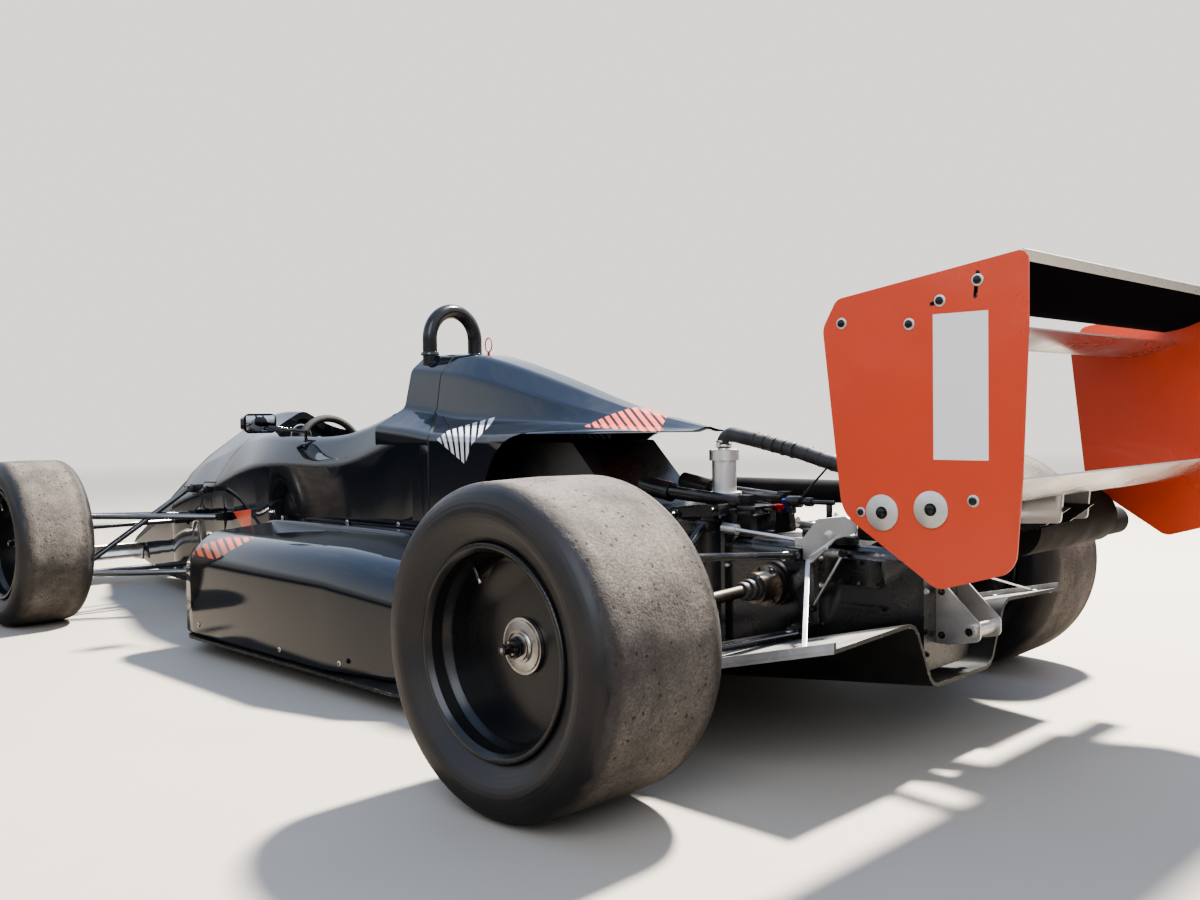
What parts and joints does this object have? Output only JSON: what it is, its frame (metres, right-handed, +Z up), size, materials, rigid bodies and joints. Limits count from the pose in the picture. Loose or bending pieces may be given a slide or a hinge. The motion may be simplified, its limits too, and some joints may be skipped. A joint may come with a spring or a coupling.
{
  "type": "open wheel racing car",
  "caption": "Single-seat open wheel racing car on slick tyres, with sidepods, a two-element rear wing, a roll hoop and an exposed gearbox and rear suspension.",
  "frame": {"origin": "on the ground, at the centre of the car's outer box seen from above", "axes": "+Z up, the car faces -Y, +X is the car's left side"},
  "size_m": [1.8534, 4.288, 1.0118],
  "materials": {
    "body_paint": "gloss black paint over moulded fibre panels",
    "floor_black": "matt black composite sheet",
    "tyre_rubber": "worn slick tyre rubber with picked-up grit",
    "rim_black": "satin black paint, chipped along the lip",
    "hub_metal": "machined hub, brake disc and stub axle",
    "black_metal": "satin black coated steel",
    "cast_black": "dark painted casting",
    "brushed_aluminium": "brushed aluminium",
    "wing_aluminium": "satin aluminium skin",
    "wing_black": "gloss black underside with bare metal edge",
    "plate_orange": "orange-red paint",
    "hose_black": "black tape-wrapped hose",
    "shaft_bronze": "heat-stained steel",
    "seat_cloth": "black cloth over foam",
    "radiator_core": "finned core",
    "steering_grip": "black suede grip"
  },
  "bodies": {
    "chassis": {"monocoque": "body_paint", "nose_cone": "body_paint", "hoop_fairing": "body_paint", "engine_cover": "body_paint", "sidepod_left": "body_paint", "sidepod_right": "body_paint", "roll_hoop": "black_metal", "mirrors": "body_paint", "front_wing_left": "wing_aluminium", "front_wing_right": "wing_aluminium", "floor": "floor_black", "radiators": "radiator_core", "engine": "cast_black", "gearbox": "cast_black", "oil_system": "brushed_aluminium", "breather_hose": "hose_black", "rear_main_plane": "wing_aluminium", "rear_flap": "wing_black", "beam_wing": "wing_aluminium", "wing_posts": "black_metal", "end_plate_left": "plate_orange", "end_plate_right": "plate_orange", "exhaust": "black_metal", "jack_bracket": "brushed_aluminium", "tail_brackets": "brushed_aluminium", "rear_wishbones": "black_metal", "rear_uprights": "cast_black", "rear_dampers": "black_metal", "front_wishbones": "black_metal", "seat": "seat_cloth", "dash": "floor_black"},
    "left_knuckle": {"front_upright_left": "cast_black"},
    "right_knuckle": {"front_upright_right": "cast_black"},
    "steering_rack": {"track_rods": "black_metal"},
    "driver_wheel": {"steering_wheel": "steering_grip"},
    "left_driveshaft": {"driveshaft_left": "shaft_bronze"},
    "right_driveshaft": {"driveshaft_right": "shaft_bronze"},
    "front_left_wheel": {"tyre_front_left": "tyre_rubber", "rim_front_left": "rim_black", "hub_front_left": "hub_metal"},
    "front_right_wheel": {"tyre_front_right": "tyre_rubber", "rim_front_right": "rim_black", "hub_front_right": "hub_metal"},
    "rear_left_wheel": {"tyre_rear_left": "tyre_rubber", "rim_rear_left": "rim_black", "hub_rear_left": "hub_metal"},
    "rear_right_wheel": {"tyre_rear_right": "tyre_rubber", "rim_rear_right": "rim_black", "hub_rear_right": "hub_metal"}
  },
  "joints": [
    {"name": "steer_left", "type": "hinge", "parent": "chassis", "child": "left_knuckle", "pos_m": [0.648, -1.194, 0.2515], "axis": [0, 0, 1], "range_deg": [-18, 18]},
    {"name": "steer_right", "type": "hinge", "parent": "chassis", "child": "right_knuckle", "pos_m": [-0.648, -1.194, 0.2515], "axis": [0, 0, 1], "range_deg": [-18, 18]},
    {"name": "rack_slide", "type": "slide", "parent": "chassis", "child": "steering_rack", "axis": [1, 0, 0], "range_m": [-0.032, 0.032]},
    {"name": "driver_wheel_turn", "type": "hinge", "parent": "chassis", "child": "driver_wheel", "pos_m": [0, -0.534, 0.56], "axis": [0, 0.9787, 0.2055], "range_deg": [-127, 127]},
    {"name": "front_left_roll", "type": "hinge", "parent": "left_knuckle", "child": "front_left_wheel", "pos_m": [0.76, -1.194, 0.275], "axis": [1, 0, 0], "continuous": true},
    {"name": "front_right_roll", "type": "hinge", "parent": "right_knuckle", "child": "front_right_wheel", "pos_m": [-0.76, -1.194, 0.275], "axis": [1, 0, 0], "continuous": true},
    {"name": "rear_left_roll", "type": "hinge", "parent": "chassis", "child": "rear_left_wheel", "pos_m": [0.775, 1.416, 0.285], "axis": [1, 0, 0], "continuous": true},
    {"name": "rear_right_roll", "type": "hinge", "parent": "chassis", "child": "rear_right_wheel", "pos_m": [-0.775, 1.416, 0.285], "axis": [1, 0, 0], "continuous": true},
    {"name": "left_driveshaft_spin", "type": "hinge", "parent": "chassis", "child": "left_driveshaft", "pos_m": [0.132, 1.416, 0.31], "axis": [0.9992, 0, -0.0391], "continuous": true},
    {"name": "right_driveshaft_spin", "type": "hinge", "parent": "chassis", "child": "right_driveshaft", "pos_m": [-0.132, 1.416, 0.31], "axis": [0.9992, 0, 0.0391], "continuous": true}
  ],
  "couplings": [
    {"joint": "steer_right", "follows": "steer_left", "ratio": 1},
    {"joint": "rack_slide", "follows": "steer_left", "m_per_rad": 0.1},
    {"joint": "driver_wheel_turn", "follows": "steer_left", "ratio": 7},
    {"joint": "left_driveshaft_spin", "follows": "rear_left_roll", "ratio": 1},
    {"joint": "right_driveshaft_spin", "follows": "rear_right_roll", "ratio": 1}
  ]
}
